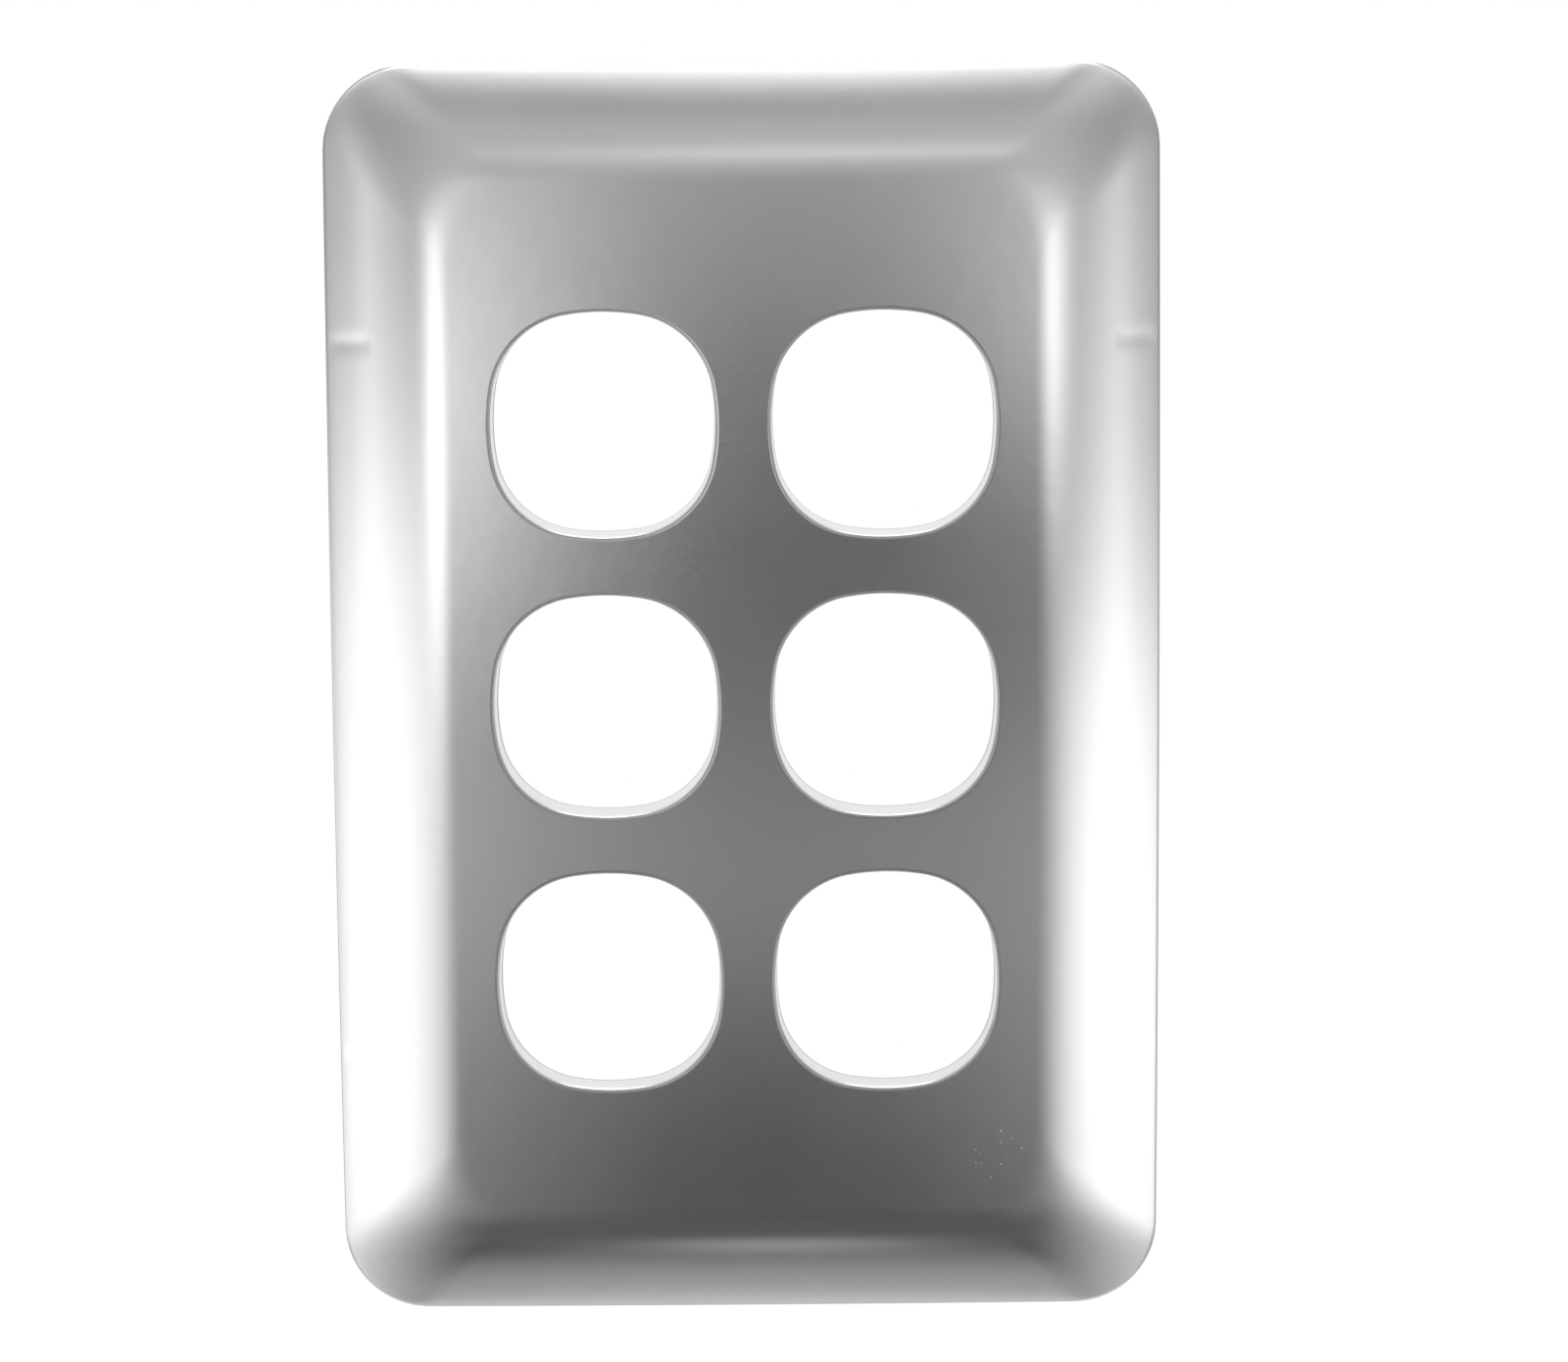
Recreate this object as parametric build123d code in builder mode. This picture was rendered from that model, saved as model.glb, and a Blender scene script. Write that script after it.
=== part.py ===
from build123d import *
import os
from math import asin, degrees, sqrt

# Cover plate of a wall switch: one thin plastic moulding with six openings for the rockers.
# X runs across the plate, Z runs up the wall, and the face looks along -Y.
# The origin is the middle of the plane where the rim meets the wall.
# Depths are measured from that plane towards the front.

# Outline on the wall
plate_width = 76.0
plate_height = 116.0
corner_radius = 7.75

# Face, gently domed across and bowed from top to bottom
plate_depth = 7.6
crown_radius = 900.0
bow_radius = 700.0

# Sloping border from the face down to the rim
side_border = 9.6
side_foot = 4.4
end_border = 13.4
end_foot = 2.0
border_bulge = 0.95
shoulder_radius = 8.0
rim_radius = 2.0

# Shell
wall = 1.8

# Openings: four shallow arcs with rounded corners
columns = 2
rows = 3
column_pitch = 25.4
row_pitch = 25.7
opening_width = 20.4
opening_side_radius = 20.0
opening_corner_radius = 8.0
opening_draft = 2.0
opening_edge_radius = 0.25

# Collars behind the openings
collar_wall = 1.2
collar_back_depth = 3.2

# Snap catches behind the long sides, each a nosed lug with a rib to the side wall
catch_spacing = 66.0
catch_width = 6.0
catch_inset = 5.0
catch_thickness = 1.5
catch_nose = 0.9
catch_nose_depth = 1.0
catch_free_depth = 0.6
catch_rib = 1.2

half_width = plate_width / 2
half_height = plate_height / 2


def sag(radius, reach):
    """Drop of an arc at a distance from its crown."""
    return radius - sqrt(radius**2 - reach**2)


def border_section(half_span, border, foot, shoulder_depth, crown_depth, foot_depth):
    """Outline of a section: a crown between two sloping borders, closed behind the wall."""
    shoulder = half_span - border
    far = half_span + foot
    behind = -plate_depth
    with BuildLine() as section:
        SagittaArc((-far, foot_depth), (-shoulder, shoulder_depth), border_bulge)
        ThreePointArc((-shoulder, shoulder_depth), (0, crown_depth), (shoulder, shoulder_depth))
        SagittaArc((shoulder, shoulder_depth), (far, foot_depth), border_bulge)
        Polyline((far, foot_depth), (far, behind), (-far, behind), (-far, foot_depth))
    return section.line


def bowed_form(draw_in):
    """Solid form of the plate, with its front lowered and its outline drawn in by the same amount."""
    crown = plate_depth - draw_in
    side_shoulder = crown - sag(crown_radius, half_width - side_border)
    bow_axis_depth = bow_radius - plate_depth
    bow_reach = degrees(asin((half_height + end_border) / bow_axis_depth))

    with BuildLine(Plane.YZ) as bow:
        CenterArc((bow_axis_depth, 0), bow_axis_depth, 180 - bow_reach, 2 * bow_reach)
    top_of_bow = Plane(bow.line @ 0, x_dir=(1, 0, 0), z_dir=bow.line % 0)
    beside = Plane((-plate_width, 0, 0), x_dir=(0, 0, 1), z_dir=(1, 0, 0))

    with BuildPart() as form:
        # Face and long sides: one section turned about an axis far behind the wall
        with BuildSketch(top_of_bow) as side_section:
            add(border_section(half_width, side_border, side_foot, side_shoulder, crown, -draw_in))
            make_face()
            fillet(side_section.vertices().group_by(Axis.Y)[-1], shoulder_radius)
        revolve(axis=Axis((0, bow_axis_depth, 0), (1, 0, 0)), revolution_arc=2 * bow_reach)

        # Top and bottom ends: a straight section that rises past the face and meets it at the end shoulders
        with BuildSketch(beside):
            add(border_section(half_height, end_border, end_foot, crown, half_height, -draw_in))
            make_face()
        extrude(amount=2 * plate_width, mode=Mode.INTERSECT)

        # Rounded outline, from the wall forwards
        with BuildSketch(Plane.XZ.offset(-draw_in)):
            RectangleRounded(plate_width - 2 * draw_in, plate_height - 2 * draw_in, corner_radius - draw_in)
        extrude(amount=plate_depth + draw_in, mode=Mode.INTERSECT)

        # End shoulders and the mitres running out to the corners
        walls = form.faces().filter_by(lambda face: abs(face.normal_at().Y) < 0.01)
        shoulders = form.edges().filter_by(GeomType.BSPLINE) - walls.edges()
        fillet(shoulders, shoulder_radius - draw_in)
    return form.part


def opening_outlines(margin):
    """The six openings widened by a margin, drawn on the sketch in hand."""
    reach = opening_width / 2 + margin
    radius = opening_side_radius + margin
    with BuildSketch(Plane.XY, mode=Mode.PRIVATE) as squircle:
        Circle(radius)
        for side in range(4):
            with PolarLocations(radius - reach, 1, start_angle=90 * side):
                Circle(radius, mode=Mode.INTERSECT)
        fillet(squircle.vertices(), opening_corner_radius + margin)
    with GridLocations(column_pitch, row_pitch, columns, rows):
        add(squircle.sketch)


# Hollow behind the face, with the collars and snap catches left standing in it
lug_front = plate_depth - wall
lug_outer = half_width - catch_inset
lug_inner = lug_outer - catch_thickness
with BuildPart() as hollow:
    add(bowed_form(wall))
    with BuildSketch(Plane.XZ.offset(collar_back_depth)):
        opening_outlines(collar_wall)
    extrude(amount=plate_depth, mode=Mode.SUBTRACT)

    for level in (-catch_spacing / 2, catch_spacing / 2):
        across = Plane((0, 0, level), x_dir=(1, 0, 0), z_dir=(0, 0, 1))
        with BuildSketch(across) as lugs:
            with BuildLine() as lug:
                Polyline(
                    (lug_inner, -lug_front),
                    (lug_inner, -catch_free_depth - catch_nose_depth),
                    (lug_inner - catch_nose, -catch_free_depth - catch_nose_depth / 2),
                    (lug_inner, -catch_free_depth),
                    (lug_outer, -catch_free_depth),
                    (lug_outer, -lug_front),
                    close=True,
                )
            make_face()
            mirror(about=Plane.YZ)
        extrude(amount=catch_width / 2, both=True, mode=Mode.SUBTRACT)
        with BuildSketch(across) as ribs:
            with Locations((lug_outer, -lug_front)):
                Rectangle(catch_inset, lug_front - catch_free_depth, align=(Align.MIN, Align.MIN))
            mirror(about=Plane.YZ)
        extrude(amount=catch_rib / 2, both=True, mode=Mode.SUBTRACT)

with BuildPart() as cover_plate:
    add(bowed_form(0))
    walls = cover_plate.faces().filter_by(lambda face: abs(face.normal_at().Y) < 0.01)
    rim = walls.edges().filter_by(Axis.Y, reverse=True).filter_by_position(Axis.Y, -plate_depth, -wall / 2)
    fillet(rim, rim_radius)
    add(hollow.part, mode=Mode.SUBTRACT)

    # Openings, drafted towards the back
    with BuildSketch(Plane.XZ.offset(plate_depth)):
        opening_outlines(0)
    extrude(amount=-plate_depth, taper=opening_draft, mode=Mode.SUBTRACT)
    cut_edges = cover_plate.edges(Select.LAST).filter_by(GeomType.LINE, reverse=True)
    fillet(cut_edges.filter_by_position(Axis.Y, -plate_depth, wall - plate_depth), opening_edge_radius)
cover_plate.part.label = "cover_plate"

os.makedirs("parts", exist_ok=True)
export_step(cover_plate.part, "parts/cover_plate.step")
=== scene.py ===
from math import copysign, cos, exp, hypot, pi, radians, sin, sqrt, tan

import bmesh
import bpy
from mathutils import Matrix, Vector


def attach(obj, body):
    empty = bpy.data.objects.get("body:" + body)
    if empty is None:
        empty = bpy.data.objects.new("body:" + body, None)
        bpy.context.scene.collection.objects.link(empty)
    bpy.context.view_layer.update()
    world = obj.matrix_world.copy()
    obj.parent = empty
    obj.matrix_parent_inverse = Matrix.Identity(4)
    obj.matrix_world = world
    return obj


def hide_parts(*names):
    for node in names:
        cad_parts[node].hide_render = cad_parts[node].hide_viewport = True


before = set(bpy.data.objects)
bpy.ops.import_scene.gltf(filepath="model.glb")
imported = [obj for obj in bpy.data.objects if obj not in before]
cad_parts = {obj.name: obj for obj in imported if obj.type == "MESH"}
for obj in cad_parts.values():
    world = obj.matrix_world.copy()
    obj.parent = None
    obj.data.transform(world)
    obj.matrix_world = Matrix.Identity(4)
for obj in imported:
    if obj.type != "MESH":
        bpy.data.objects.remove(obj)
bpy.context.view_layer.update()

# Cover plate
# One thin plastic moulding with a silver satin finish, gently bowed from top to bottom. A sloping
# border runs round it to the rim, and six soft square openings let the rockers through. Each opening
# has a collar behind it, and four snap catches behind the long sides hold the plate on its frame.
mm = 0.001
half_width = 38.0 * mm
half_height = 58.0 * mm
corner_radius = 7.75 * mm
corner_tightening = 0.2
plate_depth = 7.6 * mm
crown_radius = 900.0 * mm
bow_radius = 700.0 * mm
bow_axis_depth = bow_radius - plate_depth
wall = 1.8 * mm
hair = 0.01 * mm  # to measure slopes and to tell whether points touch

# Sloping border from the face down to the rim
side_border = 9.58 * mm
side_foot = 4.4 * mm
side_bulge = 0.95 * mm
side_shoulder_radius = 17.5 * mm
end_border = 13.0 * mm
end_foot = 2.0 * mm
end_bulge = 0.9 * mm
end_shoulder_radius = 12.5 * mm
clear_rise = 2.0 * mm


def border_arc(shoulder, shoulder_depth, foot, bulge):
    """Height function of the arc that falls from a shoulder to the wall plane at its foot."""
    run = foot - shoulder
    chord = hypot(run, shoulder_depth)
    radius = chord * chord / (8 * bulge) + bulge / 2
    inward = (radius - bulge) / chord
    middle = (shoulder + foot) / 2 - shoulder_depth * inward
    level = shoulder_depth / 2 - run * inward

    def arc_height(reach):
        fall = radius - sqrt(max(radius**2 - (reach - middle) ** 2, 0.0))
        return level + radius + (fall if reach < middle else -fall)

    return arc_height


def crown_height(reach):
    """Height of the face across the plate."""
    return plate_depth - crown_radius + sqrt(crown_radius**2 - reach**2)


def bowed(height, z):
    """A height at mid-plate, bowed about an axis far behind the wall."""
    return sqrt((bow_axis_depth + height) ** 2 - z * z) - bow_axis_depth


def bow_height(reach):
    """Height of the face from its middle towards the ends."""
    return bowed(plate_depth, reach)


side_shoulder = half_width - side_border
side_slope = border_arc(side_shoulder, crown_height(side_shoulder), half_width + side_foot, side_bulge)
end_slope = border_arc(half_height - end_border, plate_depth, half_height + end_foot, end_bulge)


def soft_least(one, other, softness):
    """The lower of two heights, rounded over where they cross, with a gentle run-out."""
    overlap = max(softness - abs(one - other), 0.0)
    return min(one, other) - (softness * (overlap / softness) ** 3 / 6 if overlap else 0.0)


def rounded_over(face, slope, reach, radius):
    """Drop from the face to a slope that cuts it, with the shoulder between them rounded.

    Where the slope stands well clear above the face, the face is left as it is.
    """
    if slope(reach) > face(reach) + clear_rise:
        return 0.0
    fall = (face(reach + hair) - slope(reach + hair) - face(reach) + slope(reach)) / hair
    return face(reach) - soft_least(face(reach), slope(reach), radius * fall**2)


def corner_inset(side_inset, end_inset):
    """Inset of the line of equal height through a point at a corner. Its turn tightens inwards."""
    from_side, from_end = corner_radius - side_inset, corner_radius - end_inset
    keep = 1 - corner_tightening
    square = 2 * keep**2 - corner_tightening**2
    linear = keep * (from_side + from_end) + corner_tightening * corner_radius
    constant = from_side**2 + from_end**2 - corner_radius**2
    return (sqrt(linear**2 - square * constant) - linear) / square


def front_height(x, z):
    """Height of the front above the wall plane: the face, let down by its side and end borders.

    Round the corners both borders are read at one inset, so lines of equal height turn with the outline.
    """
    crown = crown_height(abs(x))
    side_reach, end_reach = abs(x), abs(z)
    side_inset, end_inset = half_width - side_reach, half_height - end_reach
    apart = side_inset - end_inset
    side_share = 1.0 if apart < 0 else 0.0
    if abs(apart) < corner_radius - corner_tightening * min(side_inset, end_inset):
        inset = corner_inset(side_inset, end_inset)
        side_reach, end_reach = half_width - inset, half_height - inset
        side_share = 0.5 - apart / (corner_radius - corner_tightening * inset) / 2
        side_share *= side_share * (3 - 2 * side_share)
    side_drop = rounded_over(crown_height, side_slope, side_reach, side_shoulder_radius)
    end_drop = rounded_over(bow_height, end_slope, end_reach, end_shoulder_radius)
    end_drop *= crown / plate_depth
    return bowed(crown, z) - side_share * side_drop - (1 - side_share) * end_drop


# Openings: four shallow arcs with rounded corners, drafted towards the back
columns = 2
rows = 3
column_pitch = 25.4 * mm
row_pitch = 25.7 * mm
block_half_width = columns / 2 * column_pitch
block_half_height = rows / 2 * row_pitch
opening_half = 10.2 * mm
opening_side_radius = 20.0 * mm
opening_corner_radius = 8.0 * mm
opening_draft = radians(2.0)
opening_edge_radius = 0.25 * mm
collar_wall = 1.2 * mm
collar_back_depth = 3.2 * mm


def opening_reach(across, up, margin):
    """Distance from an opening's middle to its edge, widened by a margin, along a direction."""
    major, minor = sorted((abs(across), abs(up)), reverse=True)
    major, minor = major / hypot(major, minor), minor / hypot(major, minor)
    side_radius = opening_side_radius + margin
    set_back = opening_side_radius - opening_half
    corner = (sqrt(2 * (opening_side_radius - opening_corner_radius) ** 2 - set_back**2) - set_back) / 2
    turn = corner / (opening_side_radius - opening_corner_radius)
    meets = side_radius * turn / (side_radius * sqrt(1 - turn**2) - set_back)
    if minor < major * meets:
        return sqrt(side_radius**2 - (set_back * minor) ** 2) - set_back * major
    corner_reach = opening_corner_radius + margin
    return corner * (major + minor) + sqrt(corner_reach**2 - (corner * (major - minor)) ** 2)


def opening_of(v):
    """Middle of the opening nearest to a vertex."""
    return (
        copysign(column_pitch / 2, v.co.x),
        row_pitch * max(-1, min(1, round(v.co.z / row_pitch))),
    )


def onto_outline(x, z, inset):
    """A point of the block of openings moved out to the plate's rounded outline, drawn in by an inset."""
    wide, high, radius = half_width - inset, half_height - inset, corner_radius - inset
    x, z = x * wide / block_half_width, z * high / block_half_height
    out_x, out_z = abs(x) - wide + radius, abs(z) - high + radius
    if out_x > 0 and out_z > 0:
        pull = radius / hypot(out_x, out_z)
        x = copysign(wide - radius + out_x * pull, x)
        z = copysign(high - radius + out_z * pull, z)
    return x, z


# Shell: a front and a back skin, joined round the openings by collars and round the outline by the rim
cell_sides = 40
cell_inset = 0.3 * mm
guard_ring = 0.4 * mm
outline_ring = 0.9 * mm
wall_guard_depth = 5.7 * mm
# Depth from the wall plane behind which the openings' side and upper walls are painted dark as shade; collar
# rings stand either side of it
shade_band_depth = 4.1 * mm
shade_band_fade = 0.1 * mm
rim_roll = 0.38 * mm
back_edge_radius = 0.12 * mm


def between(edges, inner):
    """The edges that lead from a ring of vertices to the next ring."""
    return [e for e in edges if (e.verts[0] in inner) != (e.verts[1] in inner)]


def drawn_loops(bm, edges):
    """Extrudes loops of edges and returns the new loops' vertices and edges."""
    drawn = bmesh.ops.extrude_edge_only(bm, edges=edges)["geom"]
    new = {g for g in drawn if isinstance(g, bmesh.types.BMVert)}
    return new, [g for g in drawn if isinstance(g, bmesh.types.BMEdge) and new.issuperset(g.verts)]


def skin(bm, cell_rings, border_rings, last_ring, margin, inset, drop):
    """Lays one skin of the plate and returns the edges round its openings and round its outline."""
    # A flat block of six cells
    block = bmesh.ops.create_grid(bm, x_segments=columns, y_segments=rows, size=1)["verts"]
    bmesh.ops.scale(bm, vec=(block_half_width, block_half_height, 1), verts=block)
    bmesh.ops.rotate(bm, cent=(0, 0, 0), matrix=Matrix.Rotation(pi / 2, 3, "X"), verts=block)
    cells = list({f for v in block for f in v.link_faces})
    bmesh.ops.bisect_edges(bm, edges=list({e for f in cells for e in f.edges}), cuts=cell_sides - 1)

    # The openings: a narrow inset of each cell is moved onto the opening's edge
    aprons = bmesh.ops.inset_individual(bm, faces=cells, thickness=cell_inset)["faces"]
    outer = [e for e in {e for f in aprons for e in f.edges} if e.is_boundary]
    ring = {v for f in cells for v in f.verts}
    for v in ring:
        x, z = opening_of(v)
        across, up = v.co.x - x, v.co.z - z
        reach = opening_reach(across, up, margin) / hypot(across, up)
        v.co.x, v.co.z = x + across * reach, z + up * reach
    opening_edges = list({e for f in cells for e in f.edges})
    bmesh.ops.delete(bm, geom=cells, context="FACES_ONLY")
    spokes = between({e for v in ring for e in v.link_edges}, ring)
    bmesh.ops.subdivide_edges(bm, edges=spokes, cuts=cell_rings - 1)

    # The next ring stands close to the edge, so that the edge's rounding doesn't shade the face
    ring = {v for e in opening_edges for v in e.verts}
    for e in between({e for v in ring for e in v.link_edges}, ring):
        edge_vert, next_vert = sorted(e.verts, key=lambda v: v not in ring)
        next_vert.co = edge_vert.co + (next_vert.co - edge_vert.co).normalized() * guard_ring

    # The border, drawn out from the block to the outline, with a last ring square to the outline
    outline, outline_edges = drawn_loops(bm, outer)
    for v in outline:
        v.co.x, v.co.z = onto_outline(v.co.x, v.co.z, inset + last_ring)
    spokes = between({e for v in outline for e in v.link_edges}, outline)
    bmesh.ops.subdivide_edges(bm, edges=spokes, cuts=border_rings - 1)
    if last_ring:
        outline, outline_edges = drawn_loops(bm, outline_edges)
        for v in outline:
            from_corner = Vector((
                max(abs(v.co.x) - half_width + corner_radius, 0.0),
                max(abs(v.co.z) - half_height + corner_radius, 0.0),
            )).normalized()
            v.co.x += copysign(last_ring * from_corner.x, v.co.x)
            v.co.z += copysign(last_ring * from_corner.y, v.co.z)

    # What still lies flat is raised to the plate's form
    for v in bm.verts:
        if abs(v.co.y) < hair:
            v.co.y = drop - front_height(v.co.x, v.co.z)
    return opening_edges, outline_edges


def drawn_to(bm, edges, depth):
    """Draws loops of edges straight back to a depth and returns the new loops' edges."""
    new, new_edges = drawn_loops(bm, edges)
    for v in new:
        v.co.y = -depth
    return new_edges


def join_level_loops(bm, outer, inner):
    """Bridges two loops on one level, held apart while the bridge looks for matching vertices."""
    inner_verts = list({v for e in inner for v in e.verts})
    bmesh.ops.translate(bm, vec=(0, wall, 0), verts=inner_verts)
    bmesh.ops.bridge_loops(bm, edges=outer + inner)
    bmesh.ops.translate(bm, vec=(0, -wall, 0), verts=inner_verts)


def rounded(bm, edges, radius, segments):
    """Rounds edges over."""
    bmesh.ops.bevel(
        bm, geom=edges, offset=radius, segments=segments,
        profile=0.5, affect="EDGES", material=-1, clamp_overlap=True,
    )


plate_mesh = bpy.data.meshes.new("cover_plate_skin")
bm = bmesh.new()
front_openings, front_outline = skin(
    bm, cell_rings=6, border_rings=36, last_ring=outline_ring, margin=0, inset=0, drop=0
)
back_openings, back_outline = skin(
    bm, cell_rings=3, border_rings=16, last_ring=0, margin=collar_wall, inset=wall, drop=wall
)
collar_front, collar_depth = front_openings, plate_depth
for depth in (wall_guard_depth, shade_band_depth + shade_band_fade, shade_band_depth - shade_band_fade, collar_back_depth):
    collar_front = drawn_to(bm, collar_front, depth)
    for v in {v for e in collar_front for v in e.verts}:
        x, z = opening_of(v)
        offset = Vector((v.co.x - x, v.co.z - z))
        offset *= 1 - (collar_depth - depth) * tan(opening_draft) / offset.length
        v.co.x, v.co.z = x + offset.x, z + offset.y
    collar_depth = depth
collar_back = drawn_to(bm, back_openings, collar_back_depth)
for middle in {opening_of(e.verts[0]) for e in collar_back}:
    front_loop, back_loop = (
        [e for e in loops if opening_of(e.verts[0]) == middle] for loops in (collar_front, collar_back)
    )
    join_level_loops(bm, front_loop, back_loop)
rim_front = drawn_to(bm, front_outline, 0)
rim_back = drawn_to(bm, back_outline, 0)
join_level_loops(bm, rim_front, rim_back)

bmesh.ops.recalc_face_normals(bm, faces=bm.faces)
rounded(bm, front_outline, rim_roll, segments=10)
rounded(bm, front_openings, opening_edge_radius, segments=5)
rounded(bm, rim_front + rim_back + collar_front + collar_back, back_edge_radius, segments=2)

# Sink marks: the rib of each catch draws a shallow groove into the outside of the border as it cools
catch_level = 33.0 * mm
sink_depth = 0.05 * mm
sink_spread = 0.8 * mm
sink_outer = half_width - 0.3 * mm
sink_inner = half_width - 4.4 * mm
sink_middle = (sink_inner + sink_outer) / 2
sink_band = 3.0 * mm
sink_margin = 1.0 * mm
sink_cuts = 7
cut_spacing = 0.3 * mm
rim_height = 1.0 * mm


def near_sink(f, level):
    """Whether a face of the front lies round the sink mark at a level."""
    middle = f.calc_center_median()
    return f.normal.y < 0 and abs(middle.x) > sink_inner - sink_margin and abs(middle.z - level) < sink_band


for level in (-catch_level, catch_level):
    for cut in range(-sink_cuts, sink_cuts + 1):
        near = [f for f in bm.faces if near_sink(f, level)]
        bmesh.ops.bisect_plane(
            bm,
            geom=near + list({e for f in near for e in f.edges}) + list({v for f in near for v in f.verts}),
            plane_co=(0, 0, level + cut * cut_spacing),
            plane_no=(0, 0, 1),
        )
for v in bm.verts:
    if v.co.y < -rim_height and sink_inner < abs(v.co.x) < sink_outer:
        fade = 1 - ((abs(v.co.x) - sink_middle) / (sink_outer - sink_middle)) ** 4
        v.co.y += sink_depth * fade * exp(-(((abs(v.co.z) - catch_level) / sink_spread) ** 2))

# Snap catches: nosed lugs that hang from the border, each tied to the side wall by a thin rib
catch_inset = 5.0 * mm
catch_width = 6.0 * mm
catch_thickness = 1.5 * mm
catch_nose = 0.9 * mm
catch_nose_depth = 1.0 * mm
catch_edge_radius = 0.08 * mm
catch_rib = 1.2 * mm
rib_overlap = 0.3 * mm
free_depth = 0.6 * mm
rib_depth = free_depth + 0.05 * mm
lug_outer = half_width - catch_inset
lug_inner = lug_outer - catch_thickness
rib_end = half_width - wall / 2


def prism(bm, outline, level, side, width):
    """A flat outline in depth, given as reach and depth pairs, drawn along the plate's height."""
    verts = [bm.verts.new((side * reach, -depth, level - width / 2)) for reach, depth in outline]
    face = bm.faces.new(verts)
    drawn = bmesh.ops.extrude_face_region(bm, geom=[face], use_keep_orig=True)["geom"]
    ends = [g for g in drawn if isinstance(g, bmesh.types.BMVert)]
    bmesh.ops.translate(bm, vec=(0, 0, width), verts=ends)
    bmesh.ops.recalc_face_normals(bm, faces=list({f for v in verts + ends for f in v.link_faces}))
    rounded(bm, list({e for v in verts + ends for e in v.link_edges}), catch_edge_radius, segments=2)


for side in (-1, 1):
    for level in (-catch_level, catch_level):
        roots = {reach: front_height(reach, level) - wall / 2 for reach in (lug_inner, lug_outer, rib_end)}
        lug = (
            (lug_inner, roots[lug_inner]),
            (lug_inner, free_depth + catch_nose_depth),
            (lug_inner - catch_nose, free_depth + catch_nose_depth / 2),
            (lug_inner, free_depth),
            (lug_outer, free_depth),
            (lug_outer, roots[lug_outer]),
        )
        prism(bm, lug, level, side, catch_width)
        rib = (
            (lug_outer - rib_overlap, rib_depth),
            (rib_end, rib_depth),
            (rib_end, roots[rib_end]),
            (lug_outer - rib_overlap, roots[lug_outer]),
        )
        prism(bm, rib, level, side, catch_rib)

# Bare plastic and painted shade: the back of the plate is bare plastic. The same dark colour paints shade on
# the back part of each opening's side and upper walls, not on its lower wall, and a thin dark line on its
# edge rounding.
# Where the painted dark line lies on each opening's edge rounding, and its half width
painted_edge_line = 0.15 * mm
painted_edge_reach = 0.1 * mm
# How far the painted wall shade reaches round towards each opening's lower wall
wall_shade_slant = 1.2
sharp_angle = radians(40)
bare_and_shade = bm.verts.layers.float.new("bare_and_shade")
for v in bm.verts:
    x, z = opening_of(v)
    across, up = v.co.x - x, v.co.z - z
    outside = hypot(across, up) - opening_reach(across, up, 0)
    if outside < hair:
        # Painted shade: the side and upper walls are darkened behind a depth, and the lower wall stays silver
        painted_wall_shade = max(0.0, min(1.0, 1 + wall_shade_slant * up / hypot(across, up)))
        v[bare_and_shade] = painted_wall_shade if -v.co.y < shade_band_depth else 0.0
    elif outside < opening_edge_radius:
        # Painted dark line along the opening's edge rounding
        v[bare_and_shade] = max(1 - abs(outside - painted_edge_line) / painted_edge_reach, 0.0)
    else:
        out_x, out_z = abs(v.co.x) - half_width + corner_radius, abs(v.co.z) - half_height + corner_radius
        within = corner_radius - hypot(max(out_x, 0.0), max(out_z, 0.0)) > wall / 2
        v[bare_and_shade] = 1.0 if within and -v.co.y < front_height(v.co.x, v.co.z) - wall / 2 else 0.0

bmesh.ops.recalc_face_normals(bm, faces=bm.faces)
for f in bm.faces:
    f.smooth = True
for e in bm.edges:
    e.smooth = e.calc_face_angle(0.0) < sharp_angle
bm.to_mesh(plate_mesh)
bm.free()


def placed(name, data):
    """Adds an object to the scene."""
    made = bpy.data.objects.new(name, data)
    bpy.context.scene.collection.objects.link(made)
    return made


plate = placed("plate", plate_mesh)
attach(plate, "root")
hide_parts("cover_plate")


# Silver finish: a fine satin lacquer with a faint orange peel, and a little dust low on the right
class Signal:
    """A socket of a node tree. Arithmetic on it adds Math nodes to that tree."""

    def __init__(self, tree, socket=None):
        self.tree = tree
        self.socket = socket

    def node(self, kind, settings, inputs, output=None):
        """Adds a node, sets it up, fills or links its inputs and gives one of its outputs."""
        made = self.tree.nodes.new(kind)
        for name, value in settings.items():
            setattr(made, name, value)
        for name, value in inputs.items():
            if isinstance(value, Signal):
                self.tree.links.new(value.socket, made.inputs[name])
            else:
                made.inputs[name].default_value = value
        return Signal(self.tree, None if output is None else made.outputs[output])

    def maths(self, operation, *values):
        """Adds a Math node."""
        return self.node("ShaderNodeMath", {"operation": operation}, dict(enumerate(values)), 0)

    def __add__(self, other):
        return self.maths("ADD", self, other)

    def __sub__(self, other):
        return self.maths("SUBTRACT", self, other)

    def __rsub__(self, other):
        return self.maths("SUBTRACT", other, self)

    def __mul__(self, other):
        return self.maths("MULTIPLY", self, other)

    __radd__ = __add__
    __rmul__ = __mul__

    def least(self, other):
        """The lower of two values."""
        return self.maths("MINIMUM", self, other)

    def most(self, other):
        """The higher of two values."""
        return self.maths("MAXIMUM", self, other)

    def ramp(self, low, high):
        """Rises smoothly from 0 to 1 between two values."""
        limits = {"Value": self, "From Min": low, "From Max": high}
        return self.node("ShaderNodeMapRange", {"interpolation_type": "SMOOTHSTEP"}, limits, 0)


def emptied_tree(owner):
    """Clears the node tree of a material, lamp or world, to be filled again."""
    owner.use_nodes = True
    owner.node_tree.nodes.clear()
    return Signal(owner.node_tree)


silver_dark = (0.68, 0.68, 0.683, 1)
silver_light = (0.76, 0.76, 0.763, 1)
dust_colour = (0.7, 0.7, 0.69, 1)
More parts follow.
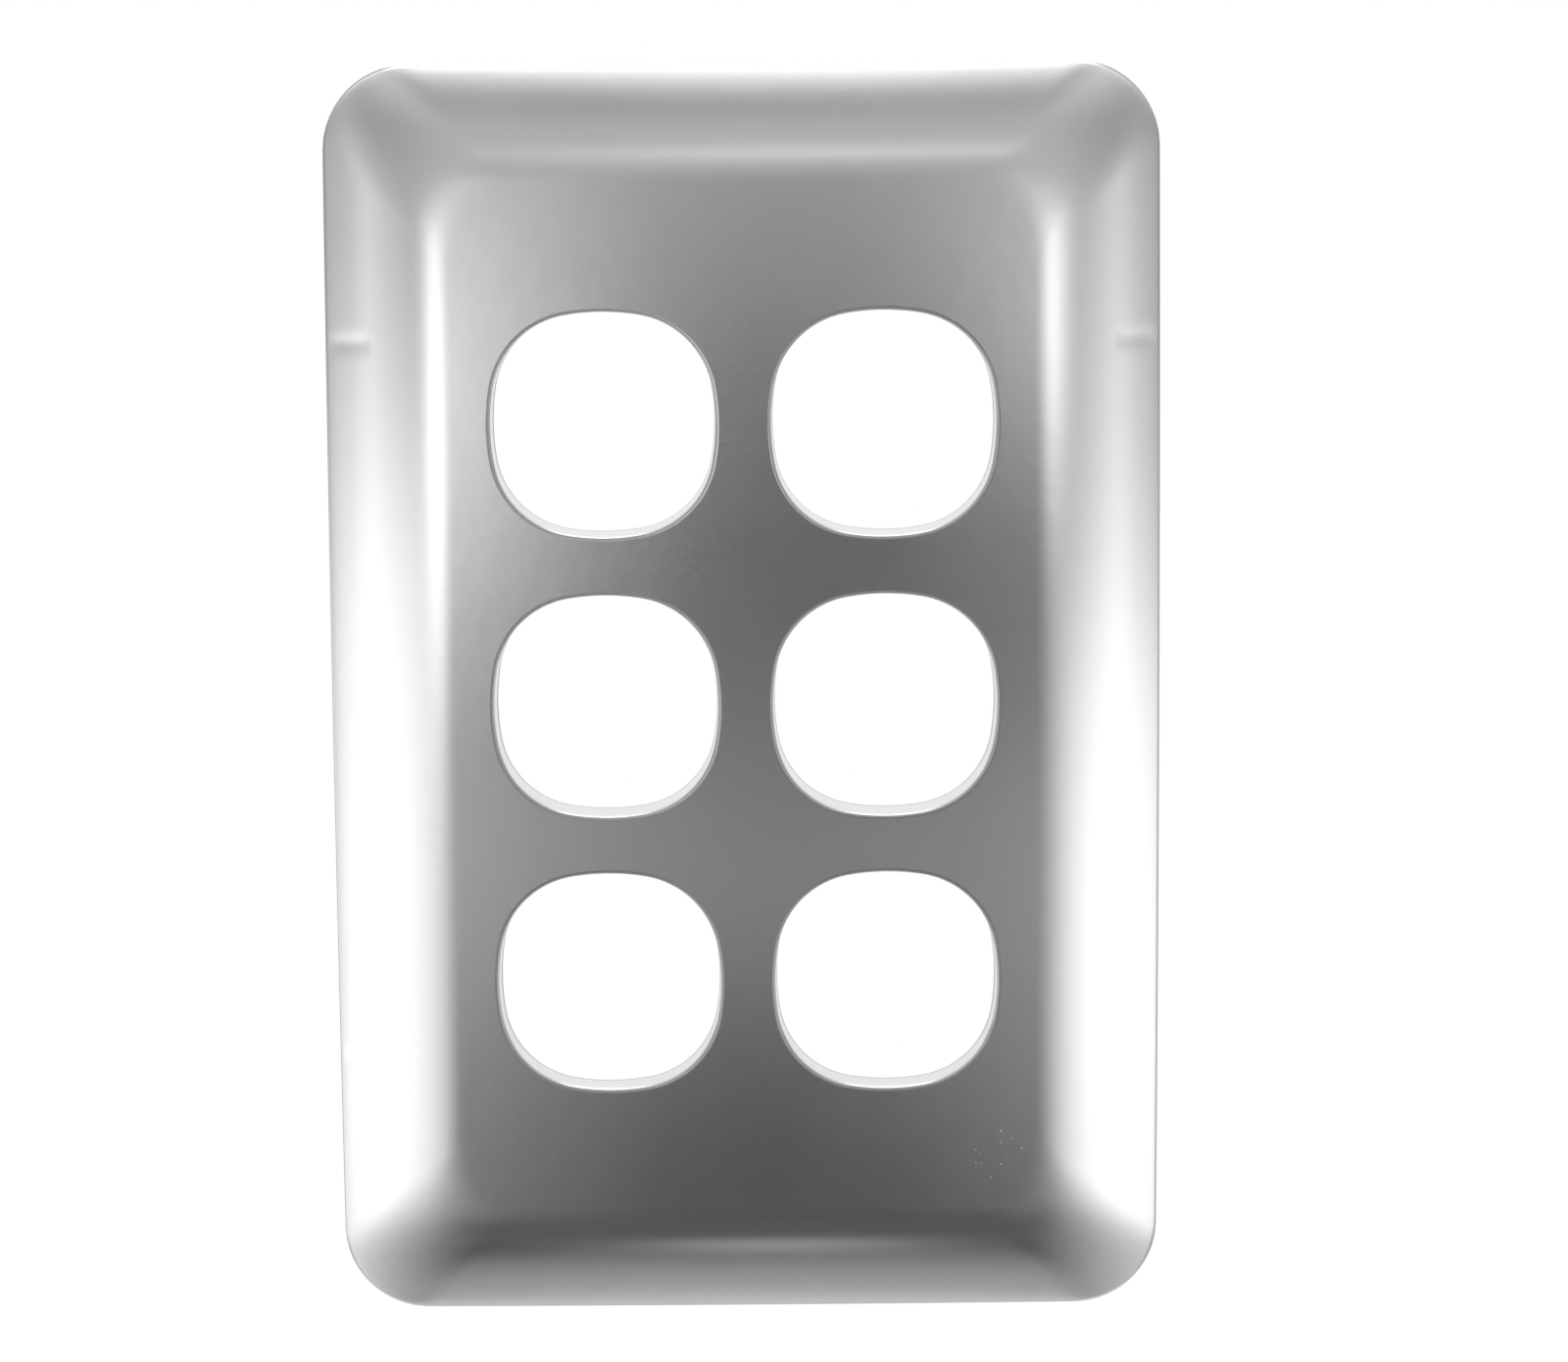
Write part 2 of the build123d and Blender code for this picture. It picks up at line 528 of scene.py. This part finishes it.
# Dark bare plastic for the back, also used as painted shade inside the openings and as a dark line on their
# edges
bare_and_shade_colour = (0.16, 0.16, 0.163, 1)
satin_roughness = 0.185
grain_roughness = 0.04
mottle_roughness = 0.02
worn_roughness = 0.3
peel_depth = 0.004 * mm
grain_in_peel = 0.06
dust_place = (22.7 * mm, -7.0 * mm, -42.3 * mm)
dust_spread = (1.0 * mm, 5.0 * mm)
dust_cells_per_metre = 2100.0
dust_cover = 0.75
dust_gather = 0.5
speck_edge = (0.10, 0.22)
speck_pick = (1.08, 1.25)

silver = bpy.data.materials.new("silver_satin_lacquer")
finish = emptied_tree(silver)
place = finish.node("ShaderNodeTexCoord", {}, {}, "Object")


def noise(scale, detail, roughness):
    """Noise over the plate, with its scale in grains to the metre."""
    inputs = {"Vector": place, "Scale": scale, "Detail": detail, "Roughness": roughness}
    return finish.node("ShaderNodeTexNoise", {}, inputs, 0)


def mixed(share, first, second):
    """A colour that takes a share of the second and the rest of the first."""
    return finish.node("ShaderNodeMix", {"data_type": "RGBA"}, {"Factor": share, 6: first, 7: second}, 2)


grain = noise(scale=4500.0, detail=2.0, roughness=0.6)
peel = noise(scale=520.0, detail=1.0, roughness=0.4)
mottle = noise(scale=90.0, detail=3.0, roughness=0.55)

dust_cells = {"Vector": place, "Scale": dust_cells_per_metre}
dust_dot = finish.node("ShaderNodeTexVoronoi", {}, dust_cells, "Distance")
dust_hue = finish.node("ShaderNodeTexVoronoi", {}, dust_cells, "Color")
dust_pick = finish.node("ShaderNodeSeparateColor", {}, {"Color": dust_hue}, 0)
from_dust = finish.node("ShaderNodeVectorMath", {"operation": "DISTANCE"}, {0: place, 1: dust_place}, "Value")
dusty = 1 - from_dust.ramp(*dust_spread)
dust = (1 - dust_dot.ramp(*speck_edge)) * (dust_pick + dusty * dust_gather).ramp(*speck_pick) * dust_cover

# Mask of bare plastic and of painted shade
bare_and_shade_mask = finish.node("ShaderNodeAttribute", {"attribute_name": "bare_and_shade"}, {}, "Fac")
silvered = mixed(mottle * 0.5 + grain * 0.5, silver_dark, silver_light)
dusted = mixed(dust, silvered, dust_colour)
satin = satin_roughness + grain * grain_roughness + mottle * mottle_roughness
satin += (dust + bare_and_shade_mask) * worn_roughness
relief = {"Height": peel + grain * grain_in_peel, "Strength": 1.0, "Distance": peel_depth}
surface = finish.node("ShaderNodeBump", {}, relief, 0)
shader = finish.node("ShaderNodeBsdfPrincipled", {}, {
    "Base Color": mixed(bare_and_shade_mask, dusted, bare_and_shade_colour),
    "Metallic": (1 - dust) * (1 - bare_and_shade_mask),
    "Roughness": satin,
    "Normal": surface,
}, 0)
finish.node("ShaderNodeOutputMaterial", {}, {"Surface": shader})
plate_mesh.materials.append(silver)

# Camera
# A long lens in front of the plate and a little above its middle, looking slightly down at it.
camera = placed("camera", bpy.data.cameras.new("camera"))
camera.location = (3.83 * mm, -461.16 * mm, 72.86 * mm)
camera.rotation_euler = (radians(81.1553), radians(0.4416), radians(-0.0287))
camera.data.sensor_fit = "HORIZONTAL"
camera.data.sensor_width = 36.0
camera.data.lens = 115.94
camera.data.clip_start = 0.01
bpy.context.scene.camera = camera
bpy.context.scene.view_settings.view_transform = "Standard"

# Floor
# A plain pale floor, well below the plate, which hangs at wall height. Matt paint, lifted towards
# white where the camera looks at it.
floor_half = 0.6
floor_middle = (0, 0.53, -0.5)
floor_colour = (0.8, 0.8, 0.8, 1)
floor_lift = 0.65
floor_mesh = bpy.data.meshes.new("floor")
bm = bmesh.new()
bmesh.ops.create_grid(bm, x_segments=1, y_segments=1, size=floor_half)
bmesh.ops.translate(bm, vec=floor_middle, verts=bm.verts)
bm.to_mesh(floor_mesh)
bm.free()
floor = placed("floor", floor_mesh)

pale = bpy.data.materials.new("pale_floor")
ground = emptied_tree(pale)
matt = ground.node("ShaderNodeBsdfPrincipled", {}, {"Base Color": floor_colour, "Roughness": 0.9}, 0)
bright = ground.node("ShaderNodeEmission", {}, {"Strength": 1.0}, 0)
looked_at = ground.node("ShaderNodeLightPath", {}, {}, "Is Camera Ray")
lifted = ground.node("ShaderNodeMixShader", {}, {0: looked_at * floor_lift, 1: matt, 2: bright}, 0)
ground.node("ShaderNodeOutputMaterial", {}, {"Surface": lifted})
floor_mesh.materials.append(pale)

# Light
# Soft panels at both sides, above, below and beside the camera, in a dim room. White lies behind the plate.
lamp_distance = 0.6


def panel(name, azimuth, elevation, width, height, brightness, softness):
    """A soft rectangular lamp that faces the middle of the plate and fades towards its edges.

    Its direction is in degrees, with azimuth 0 in front of the plate, and its sizes are in metres.
    """
    lamp = bpy.data.lights.new(name, "AREA")
    lamp.shape = "RECTANGLE"
    lamp.size, lamp.size_y = width * (1 + softness), height * (1 + softness)
    lamp.energy = brightness * pi * lamp.size * lamp.size_y
    glow = emptied_tree(lamp)
    position = glow.node("ShaderNodeNewGeometry", {}, {}, "Parametric")
    edge = softness / (1 + softness)
    sides = [glow.node("ShaderNodeSeparateXYZ", {}, {0: position}, axis) for axis in ("X", "Y")]
    across, up = (side.least(1 - side).ramp(0.0, edge) for side in sides)
    light = glow.node("ShaderNodeEmission", {}, {"Strength": across * up}, 0)
    glow.node("ShaderNodeOutputLight", {}, {"Surface": light})
    towards = Vector((
        sin(radians(azimuth)) * cos(radians(elevation)),
        -cos(radians(azimuth)) * cos(radians(elevation)),
        sin(radians(elevation)),
    ))
    holder = placed(name, lamp)
    holder.location = towards * lamp_distance
    holder.rotation_euler = towards.to_track_quat("Z", "Y").to_euler()
    holder.visible_camera = False


# Each panel: name, azimuth, elevation, width, height, brightness, softness
panel("left_side", -42.0, -15.6, 0.618, 0.311, 0.8, 0.5)
panel("right_side", 50.8, -19.3, 0.896, 0.255, 0.72, 0.5)
panel("left_low", -67.7, -36.4, 0.541, 0.46, 0.55, 1)
panel("right_low", 53.7, -28.0, 0.322, 0.599, 0.6, 1)
panel("left_back", -105.0, -16.0, 0.5, 0.27, 0.65, 0.5)
panel("right_back", 105.0, -16.0, 0.5, 0.27, 0.3, 0.5)
panel("front_low_strip", -4.0, -14.7, 0.3, 0.078, 0.32, 1)
panel("left_strip", -17.9, 1.5, 0.17, 0.14, 2.2, 1)
panel("right_strip", 20.6, 4.3, 0.189, 0.097, 2.04, 1)
panel("left_fill", -48.5, 0.0, 0.401, 0.611, 0.7, 1)
panel("right_fill", 48.0, 0.0, 0.356, 0.503, 0.65, 1)
panel("left_streak", -53.0, 2.0, 0.07, 0.5, 0.35, 1)
panel("right_streak", 53.0, -3.0, 0.07, 0.4, 0.3, 1)
panel("front", 2.1, 32.9, 0.689, 0.55, 0.55, 0.5)
panel("over_camera", 2.8, 30.0, 0.16, 0.12, 0.39, 1)
panel("left_high", -61.5, 53.9, 0.319, 0.357, 0.92, 1)
panel("right_high", 57.2, 56.2, 0.264, 0.496, 0.88, 1)
panel("overhead", -16.5, 91.8, 0.364, 0.535, 1.69, 0.5)
panel("overhead_back", 180.0, 55.0, 0.3, 0.5, 1.2, 0.5)
panel("low_front", 0.9, -42.0, 0.4, 0.26, 0.085, 0.5)
panel("low_strip", 0.6, -57.0, 0.05, 0.09, 0.75, 1)

# Room: dim in front of the plate, grey beside it and white behind it, and white where the camera looks
dim = 0.02
beside_glow = 0.4
beside_edge = (-0.6, -0.25)
high_glow = 0.15
high_edge = (0.1, 0.5)
behind_edge = (0.75, 0.97)
above_reach = 0.25
above_edge = (0.0, 0.3)
room = bpy.data.worlds.new("studio")
bpy.context.scene.world = room
air = emptied_tree(room)
direction = air.node("ShaderNodeTexCoord", {}, {}, "Generated")
along = air.node("ShaderNodeSeparateXYZ", {}, {0: direction}, "Y")
up = air.node("ShaderNodeSeparateXYZ", {}, {0: direction}, "Z")
beside = along.ramp(*beside_edge) * (beside_glow + up.ramp(*high_edge) * high_glow)
behind = (along + up.ramp(*above_edge) * above_reach).ramp(*behind_edge)
seen = air.node("ShaderNodeLightPath", {}, {}, "Is Camera Ray")
seen_through = air.node("ShaderNodeLightPath", {}, {}, "Is Transmission Ray")
white = beside.most(behind).most(seen.most(seen_through))
sky = air.node("ShaderNodeBackground", {}, {"Color": (1, 1, 1, 1), "Strength": dim + (1 - dim) * white}, 0)
air.node("ShaderNodeOutputWorld", {}, {"Surface": sky})
